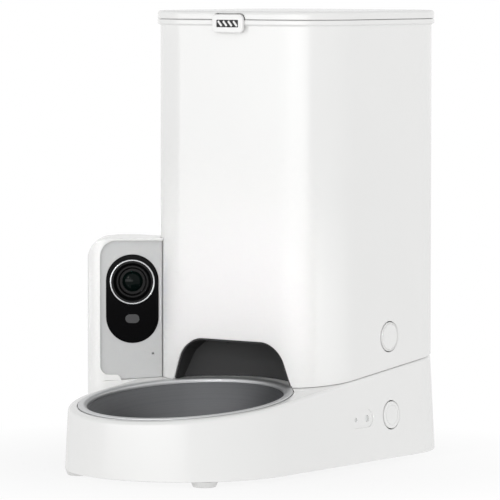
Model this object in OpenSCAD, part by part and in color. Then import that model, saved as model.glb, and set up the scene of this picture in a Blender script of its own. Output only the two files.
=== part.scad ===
// Automatic pet feeder with a camera pod, as an assembly of separate pieces.
// Millimetres, Z up, front toward -Y, floor at z = 0.

/* [Overall] */
// Height from the floor to the top of the lid
feeder_h = 310; // [270:1:360]
// Height of the rubber feet
foot_h = 4; // [3:0.5:6]
// Wall thickness of the white mouldings
wall = 2.6; // [2.2:0.1:3.2]
// Gap between pieces that move past each other
gap = 0.4; // [0.3:0.05:0.5]

/* [Hopper] */
// Half width of the square hopper column
hop_half = 77.5; // [75:0.5:80]
// Corner radius of the hopper column
hop_r = 36.4; // [32:0.2:40]
// How far the rim and the lid stand out past the hopper wall
rim_out = 1.9; // [1.4:0.1:2.4]
// Height of the rim bead under the lid
rim_h = 3.3; // [2.8:0.1:4]
// Height of the lid edge
lid_h = 6; // [5.6:0.1:7]
// Radius of the rounded lid edge
lid_edge = 2.4; // [1.5:0.1:2.6]
// Underside of the dispensing floor above the deck at the hopper axis
floor_rise = 35.75; // [35:0.25:42]
// Distance from the hopper's side to the dispensing chamber
chamber_side = 11; // [10.5:0.5:17]
// Height of the dispensing chamber
chamber_h = 21; // [19:0.5:26]

/* [Deck] */
// Tilt of the deck and of the bowl, falling to the front
tilt = 6; // [4:0.25:7]
// Deck height at the hopper axis
deck_z = 64.25; // [62:0.25:70]

/* [Base] */
// Radius of the rounded front of the base at the bottom
base_r = 80.9; // [79:0.1:84]
// Draft of the base wall
draft = 3; // [2:0.25:3.5]
// Distance from the hopper's front forward to the bowl axis
bowl_reach = 50.5; // [47.5:0.5:56.5]
// Sideways offset of the base and the bowl from the hopper axis
bowl_off = 1.6; // [0:0.1:2]
// How far the base stands out behind the hopper
rear_ledge = 5.5; // [4.5:0.5:12.5]
// Corner radius at the rear of the base
rear_r = 47; // [40:0.5:50]
// Radius of the rounded edge round the deck
lip_r = 2.6; // [1.5:0.1:3]

/* [Bowl] */
// Outer radius of the bowl rim
bowl_r = 72.3; // [70:0.1:73]
// Width of the flat bowl rim
bowl_rim = 3.8; // [3:0.1:5]
// Depth of the bowl below the deck
bowl_depth = 27; // [20:0.5:28]
// Lean of the bowl wall from upright
bowl_lean = 38; // [37:0.5:44]

/* [Outlet] */
// Height of the outlet above the deck at the hopper axis
arch_rise = 20.75; // [19:0.25:23]
// Radius of the upper corners of the arch
arch_r = 19; // [16:0.5:21]
// Distance from the hopper's side to the level top of the arch
arch_side = 52.3; // [50:0.1:56]
// Lean of the arch sides
arch_lean = 19.4; // [17:0.4:21.8]
// Depth of the white jamb round the arch
jamb = 6; // [4:0.5:8]
// Thickness of the dark sleeve that lines the jamb
sleeve = 1.2; // [1:0.1:1.5]
// Radius of the curved back wall about the bowl axis
niche_r = 77.5; // [76:0.25:80]

/* [Camera pod] */
// Angle that the camera panel is turned toward the bowl
pod_turn = 36.87; // [32:0.5:42]
// How far the pod stands out past the hopper's side
pod_out = 35; // [31:0.5:41]
// How far the centre of the pod's front edge lies ahead of the hopper
pod_fwd = 9.4; // [6:0.2:12]
// Rounding of the pod's upright edges
pod_r = 12.5; // [10:0.5:14]
// Pod height above the floor
pod_top = 153; // [146:0.5:170]
// Rounding of the upper outer corner
pod_corner = 15; // [8:0.5:20]
// Depth from the pod's front to its camera panel
panel_set = 2.5; // [2:0.1:3]
// How far the panel's opening starts beside the centre of the front edge
panel_edge = 3.5; // [2:0.1:5]
// Height of the pod's rim over the panel
panel_rim = 1.8; // [1.5:0.1:4]
// Width of the black window
win_w = 36.5; // [34:0.5:38]
// Height of the black window
win_h = 61.5; // [54:0.5:64]
// Outer diameter of the lens ring
lens_d = 31.2; // [26:0.2:32]

/* [Buttons and latch] */
// Diameter of the release button
release_d = 20.7; // [16:0.1:21]
// Diameter of the feed button
feed_d = 19.4; // [16:0.1:21]
// Width of the lid latch
latch_w = 26; // [24:0.5:34]
// Height of the lid latch
latch_h = 12.4; // [11:0.1:13.2]

/* [Gear train] */
// Gear module
gear_m = 1; // [0.9:0.05:1.05]
// Teeth on the drive gear
drive_n = 42; // [38:4:46]
// Teeth on the large wheel of the idler
wheel_n = 36; // [28:4:36]
// Width of each gear
gear_w = 6; // [5:0.5:6]

/* [Hidden] */
$fn = 96;
e = 0.01;
pin_n = 12;
bx = bowl_off;
bowl_fwd = hop_half + bowl_reach;
by = -bowl_fwd;
zb = deck_z + by * tan(tilt);
base_rear = hop_half + rear_ledge;
pod_x = hop_half + pod_out;
ox = (pod_x - bx - base_r) / 2;
oy = (bowl_fwd + base_r - base_rear) / 2;
seam_z = feeder_h - lid_h;
rim_z = seam_z - rim_h;
floor_z = deck_z + floor_rise;
cham_z = floor_z + 3;
hop_in = hop_half - wall;
hop_ir = hop_r - wall;
chamber_r = hop_half - chamber_side;
arch_z = deck_z + arch_rise;
arch_c = arch_z - arch_r;
arch_flat = hop_half - arch_side;
well_r = bowl_r - bowl_rim + 1.5;
btn_z = deck_z + 22.75;
btn_y = 2.3;
feed_z = 33.6;
hinge_y = hop_half + rim_out + 1.1;
hinge_z = seam_z + 0.6;
latch_y = -hop_half - rim_out;
latch_pz = seam_z + 2.2;
lens_z = pod_top - 30.35;
win_z = pod_top - 42;
ir_z = win_z - 13.8;
mic_z = win_z - 37.9;
win_x = 22.2;
ledge_z = deck_z - 5.65;
p1 = [pod_r - pod_x, 0] + pod_r * [sin(pod_turn), -cos(pod_turn)]
   - panel_set * [sin(pod_turn), -cos(pod_turn)] - panel_edge * [cos(pod_turn), sin(pod_turn)];
pod_y = -hop_half - pod_fwd;
plate_z = foot_h + 2.4;
drive_z = 46;
idler_y = gear_m * (drive_n + pin_n) / 2;
motor_y = idler_y + gear_m * (wheel_n + pin_n) / 2;
case_r = gear_m * (drive_n / 2 + 1) + 2;
boss_at = [for (k = [-1, 1]) each [[bx + k * (base_r - 20.9), 15.5 - hop_half],
  [bx + k * (base_r - 28.9), base_rear - 28]]];
foot_at = [for (k = [-1, 1]) each [[bx + k * (base_r - 27.9), by - base_r + 32.9],
  [bx + k * (base_r - 25.9), base_rear - 33]]];
board_x = bx - base_r + 11.3;
key_x = bx + base_r - 16.5;
speaker_x = bx + base_r - 33.5;

white = [0.95, 0.95, 0.94];
grey = [0.80, 0.80, 0.80];
dark = [0.25, 0.25, 0.26];
black = [0.05, 0.05, 0.06];
steel = [0.62, 0.63, 0.65];
rubber = [0.30, 0.30, 0.31];
green = [0.10, 0.35, 0.22];
brass = [0.75, 0.62, 0.35];

// Piece to draw

// Moves the hopper-axis frame to the middle of the footprint
module place() translate([ox, oy, 0]) children();

// Frame of the bowl: origin on the bowl axis in the deck plane, Z square to the deck
module tilted() translate([bx, by, zb]) rotate([tilt, 0, 0]) children();

// Everything below the deck plane raised by d
module below_deck(d) tilted() translate([-250, -150, d - 150]) cube([500, 500, 150]);

// Everything above the deck plane raised by d
module above_deck(d) tilted() translate([-250, -150, d]) cube([500, 500, 350]);

// Filled square column with rounded corners
module column(half, r, z0, z1) {
  for (k = [0:3]) rotate([0, 0, 90 * k]) {
    translate([half - r, half - r, z0]) rotate_extrude(angle = 90) square([r, z1 - z0]);
    translate([half - r, r - half, z0]) cube([r, 2 * (half - r), z1 - z0]);
  }
  translate([r - half, r - half, z0]) cube([2 * (half - r), 2 * (half - r), z1 - z0]);
}

// Sweeps a section round the square outline: x is outward from the outline, y is height
module around(half, r) for (k = [0:3]) rotate([0, 0, 90 * k]) {
  translate([half - r, half - r, 0]) rotate_extrude(angle = 90) translate([r, 0]) children();
  translate([half, half - r, 0]) rotate([90, 0, 0]) linear_extrude(2 * (half - r)) children();
}

// Rectangle whose upper outer corner has radius q
module round_section(w, h, q) difference() {
  square([w, h]);
  translate([w - q, h - q]) difference() {
    square([q + 1, q + 1]);
    circle(q);
  }
}

// Disc with a rounded front edge, from z = 0 up to h
module button_disc(r, h, q) rotate_extrude() round_section(r, h, q);

// Plate with two round ends: length along Y, thickness along Z
module slot_plate(r, len, t) {
  translate([-r, r - len / 2, 0]) cube([2 * r, len - 2 * r, t]);
  translate([0, len / 2 - r, 0]) rotate_extrude(angle = 180) square([r, t]);
  translate([0, r - len / 2, 0]) rotate([0, 0, 180]) rotate_extrude(angle = 180) square([r, t]);
}

// Drafted solid of the base, drawn in by d, between two heights
module base_body(d, z0, z1) {
  a = base_r - d - (z0 - foot_h) * tan(draft);
  b = base_r - d - (z1 - foot_h) * tan(draft);
  c = rear_r - base_r;
  h = z1 - z0;
  translate([bx, by, z0]) rotate([0, 0, 180]) rotate_extrude(angle = 180)
    polygon([[0, 0], [a, 0], [b, h], [0, h]]);
  translate([bx, base_rear - rear_r, z0]) rotate([90, 0, 0]) linear_extrude(base_rear - rear_r - by)
    polygon([[-a, 0], [a, 0], [b, h], [-b, h]]);
  for (k = [0, 1]) translate([bx + (k ? c : -c), base_rear - rear_r, z0]) rotate([0, 0, 90 * k])
    rotate_extrude(angle = 90) polygon([[0, 0], [a + c, 0], [b + c, h], [0, h]]);
  translate([bx + c, base_rear - rear_r, z0]) rotate([90, 0, 90]) linear_extrude(-2 * c)
    polygon([[0, 0], [a + c, 0], [b + c, h], [0, h]]);
}

// Rounds the deck edge at the front and along both sides
module lip_cut() {
  rf = (base_r - (zb - foot_h - base_r * sin(tilt)) * tan(draft)) / cos(tilt);
  rs = base_r - (zb - foot_h) * tan(draft);
  tilted() rotate([0, 0, 180]) rotate_extrude(angle = 180) translate([rf - lip_r, -lip_r]) difference() {
    square(lip_r + 6);
    circle(lip_r);
  }
  for (k = [0, 1]) tilted() mirror([k, 0, 0]) translate([rs - lip_r, bowl_fwd - 30, -lip_r])
    rotate([90, 0, 0]) linear_extrude(bowl_fwd - 30) difference() {
      square(lip_r + 6);
      circle(lip_r);
    }
}

// Plan of the pod drawn in by d, as a solid between two heights, clear of the hopper
module pod_plan(d, z0, z1) difference() {
  pod_block(d, z0, z1);
  column(hop_half + 0.8 + d, hop_r + 0.8 + d, z0 - 1, z1 + 1);
}

// The same plan, running on into the base
module pod_block(d, z0, z1) {
  r = pod_r - d;
  n = [sin(pod_turn), -cos(pod_turn)];
  u = [cos(pod_turn), sin(pod_turn)];
  c1 = [pod_r - pod_x, pod_y];
  c3 = [pod_r - pod_x, pod_y + 25.8];
  translate([0, 0, z0]) linear_extrude(z1 - z0)
    polygon([c1 + r * n, c1 + r * n + 60 * u, [c3[0] + 49.5, c3[1] + r],
    [c3[0], c3[1] + r], c3, [c3[0] - r, c3[1]], [c1[0] - r, c1[1]], c1]);
  translate([c1[0], c1[1], z0]) rotate([0, 0, 180]) rotate_extrude(angle = 90 + pod_turn)
    square([r, z1 - z0]);
  translate([c3[0], c3[1], z0]) rotate([0, 0, 90]) rotate_extrude(angle = 90) square([r, z1 - z0]);
}

// Frame of the camera panel: x along the panel, y into the pod, z up
module panel_frame() translate([p1[0], p1[1] + pod_y, 0]) rotate([0, 0, pod_turn]) children();

// Opening of the pod in front of the panel, as a prism between two depths
module pod_opening(y0, y1) panel_frame() translate([0, y1, 0]) rotate([90, 0, 0]) linear_extrude(y1 - y0)
  difference() {
    polygon([[0, ledge_z], [14.5, ledge_z], [14.5, 30], [70, 30],
      [70, pod_top - panel_rim], [0, pod_top - panel_rim]]);
    translate([11, pod_top - panel_rim - 11]) difference() {
      translate([-12, 0]) square([12, 12]);
      circle(11);
    }
    translate([6, ledge_z + 6]) difference() {
      translate([-7, -7]) square([7, 7]);
      circle(6);
    }
  }

// Upper outer corner of the pod as seen square to the panel
module pod_corner_cut() panel_frame() translate([0, 90, 0]) rotate([90, 0, 0]) linear_extrude(140)
  translate([pod_corner + panel_edge - pod_r, pod_top - pod_corner]) difference() {
    translate([-40, 0]) square([40, pod_corner + 10]);
    circle(pod_corner);
  }

// Frame square to the drafted right wall of the base at (y, z): z outward, y along Y
module on_right(y, z) translate([bx + base_r - (z - foot_h) * tan(draft), y, z])
  rotate([0, 90 - draft, 0]) children();

// Room for the bowl's rim where it passes under the sides of the outlet
module rim_room() tilted() translate([0, 0, -5]) cylinder(r = bowl_r + 0.6, h = 6.4);

// Arch of the outlet grown by d, between two depths along Y
module arch(d, y0, y1) {
  r = arch_r + d;
  a = arch_lean;
  top = arch_z + d;
  low = 30;
  side = arch_flat + r / cos(a) + (arch_c - low) * tan(a);
  translate([bx, y1, 0]) rotate([90, 0, 0]) linear_extrude(y1 - y0) difference() {
    polygon([[-side, low], [side, low], [side - (top - low) * tan(a), top],
      [(top - low) * tan(a) - side, top]]);
    for (k = [0, 1]) mirror([k, 0]) translate([arch_flat, arch_c]) difference() {
      polygon([[0, 0], 2 * r * [cos(a), sin(a)], 3 * r * [cos(45 + a / 2), sin(45 + a / 2)], [0, 2 * r]]);
      circle(r);
    }
  }
}

// Points of one involute tooth flank, from the root to the tip
function flank(n, m, s) = let (rp = n * m / 2, rb = rp * cos(20), rt = rp + 0.95 * m,
    half = 90 / n - 0.07 / rp * 57.3 + (tan(20) - 20 * PI / 180) * 57.3)
  [for (k = [0:3]) let (q = max(rb, rp - 1.2 * m) + (rt - max(rb, rp - 1.2 * m)) * k / 3,
    t = acos(min(1, rb / q)), a = half - (tan(t) - t * PI / 180) * 57.3) [q, s * a]];

// Spur gear with n involute teeth, first tooth at angle a0
module gear(n, w, a0) linear_extrude(w) polygon([for (k = [0:n - 1]) let (c = a0 + k * 360 / n,
    lo = flank(n, gear_m, -1), hi = flank(n, gear_m, 1), rr = n * gear_m / 2 - 1.2 * gear_m)
  each [rr * [cos(c + lo[0][1]), sin(c + lo[0][1])],
    for (p = lo) p[0] * [cos(c + p[1]), sin(c + p[1])],
    for (i = [3:-1:0]) hi[i][0] * [cos(c + hi[i][1]), sin(c + hi[i][1])],
    rr * [cos(c + hi[0][1]), sin(c + hi[0][1])]]]);

// Plan of the gearbox drawn in by d
module case_plan(d, z0, z1) {
  r = case_r - d;
  h = z1 - z0;
  translate([0, 0, z0]) rotate([0, 0, 180]) rotate_extrude(angle = 180) square([r, h]);
  translate([-r, 0, z0]) cube([2 * r, motor_y - 10, h]);
  translate([0, motor_y - 10, z0]) rotate_extrude(angle = 180) square([r, h]);
}

// Cross-shaped key of the drive coupling, grown by d
module cross_key(d, z0, z1) for (k = [0, 90]) rotate([0, 0, k])
  translate([-8 - d, -2.5 - d, z0]) cube([16 + 2 * d, 5 + 2 * d, z1 - z0]);

module base_shell() color(white) place() difference() {
  union() {
    difference() {
      intersection() {
        base_body(0, foot_h, foot_h + 74);
        below_deck(0);
      }
      lip_cut();
    }
    intersection() {
      pod_block(0, foot_h, 90);
      below_deck(0);
    }
  }
  difference() {
    intersection() {
      union() {
        base_body(wall, foot_h - 1, foot_h + 74);
        pod_block(wall, foot_h - 1, 90);
      }
      below_deck(-3);
    }
    tilted() translate([0, 0, -bowl_depth - 4.5]) cylinder(r = well_r + 2.2, h = bowl_depth + 6);
    intersection() {
      for (p = boss_at) translate([p[0], p[1], plate_z]) difference() {
        cylinder(r = 4, h = 70);
        translate([0, 0, -1]) cylinder(r = 1.45, h = 15);
      }
      below_deck(-1);
    }
  }
  pod_plan(wall, 30, 120);
  tilted() translate([0, 0, -bowl_depth - 2]) cylinder(r = well_r, h = bowl_depth + 10);
  tilted() translate([0, 0, -1.3]) cylinder(r = bowl_r + 0.6, h = 10);
  translate([0, 0, 50]) cylinder(r = 6, h = 40);
  on_right(0, feed_z) translate([0, 0, -12]) cylinder(d = feed_d + 0.7, h = 24);
  on_right(-35, feed_z) translate([0, 0, -1.2]) slot_plate(6, 27, 10);
  for (p = [[-40.8, 1.5], [-27.8, 2.4]]) on_right(p[0], feed_z) translate([0, 0, -6])
    cylinder(r = p[1], h = 10);
  translate([-45, base_rear - 8, plate_z]) cube([12, 20, 7.6]);
}

module base_plate() color(white) place() difference() {
  union() {
    base_body(wall + 0.05, foot_h, plate_z);
    pod_block(wall + 0.05, foot_h, plate_z);
    for (p = [[4, -36], [28, -36], [4, 32], [28, 32]]) translate([board_x + p[0], p[1], plate_z - e])
      cylinder(r = 2.5, h = 6 + e);
  }
  for (p = boss_at) translate([p[0], p[1], 0]) {
    cylinder(r = 1.6, h = 20);
    cylinder(r = 3.2, h = foot_h + 1.4);
  }
  for (k = [-2:2]) translate([speaker_x, -20 + 4 * k, 0]) rotate([0, 0, 90])
    translate([0, 0, foot_h - 1]) slot_plate(0.9, 18, 5);
}

module rubber_feet() color(rubber) place() for (p = foot_at) translate([p[0], p[1], foot_h])
  mirror([0, 0, 1])
  button_disc(8, foot_h, 1);

module base_screws() color(steel) place() for (p = boss_at) translate([p[0], p[1], foot_h + 0.2])
  difference() {
  union() {
    cylinder(r = 3, h = 1.2);
    cylinder(r = 1.4, h = 13);
  }
  for (k = [0, 90]) rotate([0, 0, k]) translate([-1.6, -0.35, -1]) cube([3.2, 0.7, 1.7]);
}

module pod_shell() color(white) place() difference() {
  intersection() {
    pod_plan(0, 30, pod_top);
    above_deck(0);
  }
  pod_corner_cut();
  difference() {
    pod_plan(wall, 20, pod_top - wall);
    corner_keep();
  }
  pod_opening(-20, 2.2);
  for (k = [-2:2]) translate([-pod_x - 0.5, pod_y + 13, 78 + 4 * k]) rotate([0, 90, 0])
    slot_plate(0.9, 16, 6);
}

// Keeps the wall thickness behind the rounded upper corner of the pod
module corner_keep() panel_frame() translate([0, 90, 0]) rotate([90, 0, 0]) linear_extrude(140)
  translate([pod_corner + panel_edge - pod_r, pod_top - pod_corner]) difference() {
    translate([-40, 0]) square([40, pod_corner + 10]);
    circle(pod_corner - wall);
  }

module camera_panel() color(grey) place() difference() {
  intersection() {
    union() {
      difference() {
        pod_plan(wall, 30, pod_top - wall);
        corner_keep();
      }
      intersection() {
        pod_opening(0, 2.2);
        pod_plan(0, 30, pod_top);
      }
    }
    panel_frame() translate([-2, 0, 0]) cube([80, 2.2, pod_top]);
    above_deck(0.3);
  }
  panel_frame() translate([win_x, 4, win_z]) rotate([90, 0, 0]) slot_plate(win_w / 2, win_h, 8);
  panel_frame() translate([win_x + 14.2, 4, mic_z]) rotate([90, 0, 0]) cylinder(r = 0.7, h = 8);
}

module camera_window() color(black) place() panel_frame() difference() {
  translate([win_x, 2.2, win_z]) rotate([90, 0, 0]) slot_plate(win_w / 2, win_h, 2.6);
  translate([win_x, 5, lens_z]) rotate([90, 0, 0]) cylinder(d = lens_d, h = 8);
  translate([win_x, 5, ir_z]) rotate([90, 0, 0]) rotate([0, 0, 90]) slot_plate(3, 9.7, 8);
}

module lens_ring() color(steel) place() panel_frame() translate([win_x, 2.2, lens_z]) rotate([90, 0, 0])
  difference() {
    button_disc(lens_d / 2, 3.2, 0.5);
    translate([0, 0, -1]) cylinder(d = lens_d - 2.6, h = 10);
  }

module lens_barrel() color(black) place() panel_frame() translate([win_x, 14, lens_z]) rotate([90, 0, 0])
  difference() {
    cylinder(d = lens_d - 2.6, h = 14.4);
    translate([0, 0, 8]) cylinder(d1 = lens_d - 14, d2 = lens_d - 5, h = 6.5);
    translate([0, 0, 5]) cylinder(d = lens_d - 17, h = 10);
  }

module lens_glass() color([0.10, 0.11, 0.14]) place() panel_frame() translate([win_x, 9, lens_z])
  rotate([90, 0, 0])
  intersection() {
    cylinder(d = lens_d - 17, h = 8);
    translate([0, 0, -4]) sphere(d = 20.4);
  }

module ir_window() color([0.16, 0.16, 0.17]) place() panel_frame() translate([win_x, 2.2, ir_z])
  rotate([90, 0, 0]) rotate([0, 0, 90]) slot_plate(3, 9.7, 2.8);

module camera_board() color(green) place() panel_frame() difference() {
  translate([win_x - 14.5, 14, win_z - 22.4]) cube([26, 1.6, 52]);
  translate([win_x, 20, lens_z]) rotate([90, 0, 0]) cylinder(r = 2, h = 10);
}

module speaker() color(dark) place() translate([speaker_x, -20, plate_z]) {
  difference() {
    cylinder(r = 15, h = 4);
    translate([0, 0, -1]) cylinder(r = 12, h = 3.5);
  }
  translate([0, 0, 4 - e]) cylinder(r = 9, h = 5 + e);
}

module main_board() color(green) place() {
  translate([board_x, -40, plate_z + 6]) cube([32, 76, 1.6]);
  translate([board_x + 6, -20, plate_z + 7.6 - e]) cube([14, 14, 2 + e]);
  translate([board_x + 8, 8, plate_z + 7.6 - e]) cube([18, 12, 3 + e]);
}

module key_board() color(green) place() {
  translate([key_x, -46, plate_z]) cube([1.6, 58, 38]);
  translate([key_x + 1.6 - e, -4, feed_z - 5]) cube([2.4 + e, 8, 8]);
}

module power_inlet() color(black) place() difference() {
  translate([-45, base_rear - 14, plate_z]) cube([12, 13, 7.6]);
  translate([-39, base_rear + 1, plate_z + 3.8]) rotate([90, 0, 0]) rotate([0, 0, 90])
    slot_plate(1.6, 9, 9);
}

module led_window() color(grey) place() difference() {
  on_right(-35, feed_z) translate([0, 0, -1.2]) slot_plate(6, 27, 0.5);
  for (p = [[-40.8, 1.5], [-27.8, 2.4]]) on_right(p[0], feed_z) translate([0, 0, -6])
    cylinder(r = p[1], h = 10);
}

module led_lights() color([0.85, 0.87, 0.86]) place() for (p = [[-40.8, 1.5], [-27.8, 2.4]])
  on_right(p[0], feed_z) translate([0, 0, -5]) cylinder(r = p[1], h = 4.6);

module motor() color(steel) place() translate([0, motor_y, 0]) difference() {
  union() {
    translate([0, 0, 10]) cylinder(r = 12, h = 26);
    translate([0, 0, plate_z]) cylinder(r = 4, h = 10 - plate_z + e);
  }
  translate([0, 0, 28]) cylinder(r = 1.55, h = 20);
}

module gearbox_case() color(grey) place() difference() {
  union() {
    case_plan(0, 36, 53);
    for (p = [[-18, -6], [18, -6], [-20, 32], [20, 32]]) translate([p[0], p[1], plate_z])
      cylinder(r = 3.5, h = 36 - plate_z + e);
  }
  case_plan(2, 38, 60);
  translate([0, 0, 30]) cylinder(r = 4.05, h = 20);
  translate([0, idler_y, 30]) cylinder(r = 2, h = 20);
  translate([0, motor_y, 30]) cylinder(r = 3, h = 20);
}

module gearbox_cover() color(grey) place() difference() {
  union() {
    case_plan(0, 53, 55);
    translate([0, 0, 55 - e]) cylinder(r = 7, h = 3);
  }
  translate([0, 0, 50]) cylinder(r = 4.05, h = 20);
  translate([0, idler_y, 50]) cylinder(r = 2, h = 20);
}

module idler_pin() color(steel) place() translate([0, idler_y, 36]) cylinder(r = 2, h = 19);

module pinion_gear() color(brass) place() translate([0, motor_y, 0]) {
  translate([0, 0, 39]) gear(pin_n, gear_w, 15);
  translate([0, 0, 29]) cylinder(r = 1.5, h = 11);
}

module idler_gear() color(white) place() translate([0, idler_y, 0]) difference() {
  union() {
    translate([0, 0, 39]) gear(wheel_n, gear_w, 90);
    translate([0, 0, drive_z - 1.5]) cylinder(r = 4.2, h = 2);
    translate([0, 0, drive_z]) gear(pin_n, gear_w, 15);
  }
  translate([0, 0, 30]) cylinder(r = 2.05, h = 40);
}

module drive_gear() color(white) place() {
  translate([0, 0, drive_z]) gear(drive_n, gear_w, 90);
  translate([0, 0, 36.5]) cylinder(r = 4, h = floor_z - 29.5 - 36.5 + e);
  cross_key(0, floor_z - 29.5, floor_z - 19);
}

module hopper_shell() color(white) place() difference() {
  union() {
    around(hop_half, hop_r) translate([-wall, 30]) square([wall, seam_z - 30]);
    around(hop_half, hop_r) translate([0, rim_z]) round_section(rim_out, rim_h, 0.6);
    intersection() {
      arch(2.2, -hop_half + wall - e, -hop_half + jamb);
      column(hop_half - e, hop_r - e, 40, 120);
    }
    translate([hop_half - wall - 9, btn_y, btn_z]) rotate([0, 90, 0]) cylinder(d = release_d + 5, h = 10);
    for (k = [-1, 1]) translate([k * 24.3 - 3.7, hinge_y, hinge_z]) rotate([0, 90, 0])
      cylinder(r = 2.5, h = 7.4);
    for (k = [-1, 1]) translate([k * 24.3 - 3.7, hop_half - e, rim_z])
      cube([7.4, hinge_y - hop_half + 1.5, hinge_z - rim_z]);
  }
  below_deck(gap);
  rim_room();
  arch(sleeve, -hop_half - 10, -hop_half + jamb + 1);
  translate([hop_half - wall - 7, btn_y, btn_z]) rotate([0, 90, 0]) cylinder(d = release_d + 0.7, h = 30);
  translate([hop_half - wall - 12, btn_y, btn_z]) rotate([0, 90, 0]) cylinder(r = 3.35, h = 20);
  translate([-20.6, hinge_y, hinge_z]) rotate([0, 90, 0]) cylinder(r = 3.1, h = 41.2);
  translate([-40, hinge_y, hinge_z]) rotate([0, 90, 0]) cylinder(r = 1.2, h = 80);
}

module hopper_floor() color(white) place() difference() {
  intersection() {
    column(hop_in, hop_ir, floor_z - 1, floor_z + 60);
    rotate_extrude() polygon([[0, floor_z], [chamber_r + 2.5, floor_z],
      [chamber_r + 2.5, cham_z + chamber_h - 1.5],
      [chamber_r + 42.5, cham_z + chamber_h + 38.5], [chamber_r + 38.5, cham_z + chamber_h + 38.5],
      [chamber_r, cham_z + chamber_h], [chamber_r, cham_z], [0, cham_z]]);
  }
  translate([0, 0, floor_z - 1]) cylinder(r = 8.05, h = 10);
  translate([-18, 3.5 - chamber_r, floor_z - 1]) cube([36, 14, 10]);
}

module hopper_bottom() color(white) place() difference() {
  intersection() {
    column(hop_in, hop_ir, 40, 110);
    above_deck(2);
    below_deck(4.4);
  }
  arch(2.2, -hop_half - 5, -30);
  translate([0, 0, 50]) cylinder(r = 14, h = 40);
}

module outlet_liner() color(dark) place() difference() {
  union() {
    intersection() {
      union() {
        arch(2.2, -hop_half + jamb, -40);
        intersection() {
          arch(sleeve - 0.05, -hop_half, -hop_half + jamb + e);
          column(hop_half - 0.8, hop_r - 0.8, 40, 120);
        }
      }
      translate([bx, by, 30]) cylinder(r = niche_r + 2.2, h = 80);
      above_deck(gap);
    }
    translate([-22, -chamber_r - 1.5, arch_z]) cube([44, 22, floor_z - arch_z]);
  }
  intersection() {
    arch(0, -hop_half - 5, -40);
    translate([bx, by, 20]) cylinder(r = niche_r, h = 100);
  }
  translate([20, 0, 0]) rotate([90, 0, -90]) linear_extrude(40)
    translate([chamber_r, arch_z]) polygon([[-0.5, -4], [-13.5, -4], [-13.5, 4], [-18.5, 9],
      [-18.5, floor_z - arch_z + 1], [-0.5, floor_z - arch_z + 1]]);
  rim_room();
}

module outlet_baffle() color(white) place() translate([0, 0, cham_z + chamber_h - 2]) rotate([0, 0, -125])
  rotate_extrude(angle = 70) translate([19, 0]) square([chamber_r - 19, 2]);

module hinge_pin() color(steel) place() translate([-28, hinge_y, hinge_z]) rotate([0, 90, 0])
  cylinder(r = 1.2, h = 56);

module rotor_hub() color(grey) place() difference() {
  union() {
    translate([0, 0, cham_z + 0.4]) cylinder(r = 14, h = chamber_h - 2);
    translate([0, 0, cham_z + chamber_h - 1.6 - e]) cylinder(r1 = 14, r2 = 4, h = 22);
    translate([0, 0, floor_z - 16]) cylinder(r = 8, h = 20);
    translate([0, 0, floor_z - 30]) cylinder(r = 11.5, h = 14 + e);
  }
  cross_key(gap, floor_z - 40, floor_z - 18.5);
}

module rotor_paddles() color(rubber) place() difference() {
  union() {
    translate([0, 0, cham_z + 0.6]) cylinder(r = 17, h = chamber_h - 4);
    for (k = [0:5]) rotate([0, 0, 60 * k + 30]) translate([14.5, -1.5, cham_z + 0.6])
      cube([chamber_r - 15.2, 3, chamber_h - 4]);
  }
  translate([0, 0, cham_z - 1]) cylinder(r = 14, h = 40);
}

module lid_shell() color(white) place() difference() {
  union() {
    half = hop_half + rim_out;
    r = hop_r + rim_out;
    for (k = [0:3]) rotate([0, 0, 90 * k]) {
      translate([half - r, half - r, seam_z + 0.3]) rotate_extrude(angle = 90)
        round_section(r, lid_h - 0.3, lid_edge);
      translate([half - r, half - r, seam_z + 0.3]) rotate([90, 0, 0]) linear_extrude(2 * (half - r))
        round_section(r, lid_h - 0.3, lid_edge);
    }
    translate([r - half, r - half, seam_z + 0.3]) cube([2 * (half - r), 2 * (half - r), lid_h - 0.3]);
    translate([-20.3, hinge_y, hinge_z]) rotate([0, 90, 0]) cylinder(r = 2.5, h = 40.6);
    translate([-20.3, hinge_y - 4, hinge_z]) cube([40.6, 4, 2.5]);
  }
  column(hop_half - 1.5, hop_r - 1.5, seam_z - 1, feeder_h - 2.2);
  translate([bx - latch_w / 2 - gap, latch_y - 5, seam_z - 1]) cube([latch_w + 2 * gap, 8.4, 5.6]);
  for (k = [-1, 1]) translate([k * 24.3 - 4.1, hinge_y, hinge_z]) rotate([0, 90, 0])
    cylinder(r = 3.1, h = 8.2);
  translate([-40, hinge_y, hinge_z]) rotate([0, 90, 0]) cylinder(r = 1.26, h = 80);
  translate([bx - 18, latch_y + 1.5, latch_pz]) rotate([0, 90, 0]) cylinder(r = 0.9, h = 36);
}

module lid_liner() color(grey) place() difference() {
  union() {
    column(hop_in - 2, hop_ir - 2, seam_z - 6, feeder_h - 2.2);
    column(hop_half - 1.6, hop_r - 1.6, seam_z + 1.4, seam_z + 2.6);
  }
  column(hop_in - 4, hop_ir - 4, seam_z - 4, feeder_h);
  translate([bx - latch_w / 2 - 1, latch_y - 5, seam_z - 1]) cube([latch_w + 2, 8.8, 9]);
}

module lid_seal() color(rubber) place() around(hop_in - 2, hop_ir - 2) translate([0, seam_z - 4.4])
  union() {
  square([1, 2.4]);
  translate([0.9, 0.7]) square([0.7, 1]);
}

module desiccant_case() color(white) place() difference() {
  translate([0, 0, seam_z - 20]) cylinder(r = 28, h = 14);
  translate([0, 0, seam_z - 30]) cylinder(r = 26.2, h = 22);
}

module desiccant_cap() color(grey) place() difference() {
  translate([0, 0, seam_z - 20.8]) cylinder(r = 26.2, h = 2.4);
  for (k = [-3:3]) translate([0, 6 * k, seam_z - 22]) rotate([0, 0, 90])
    slot_plate(1.3, 40 - 3.4 * abs(k) , 6);
}

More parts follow.
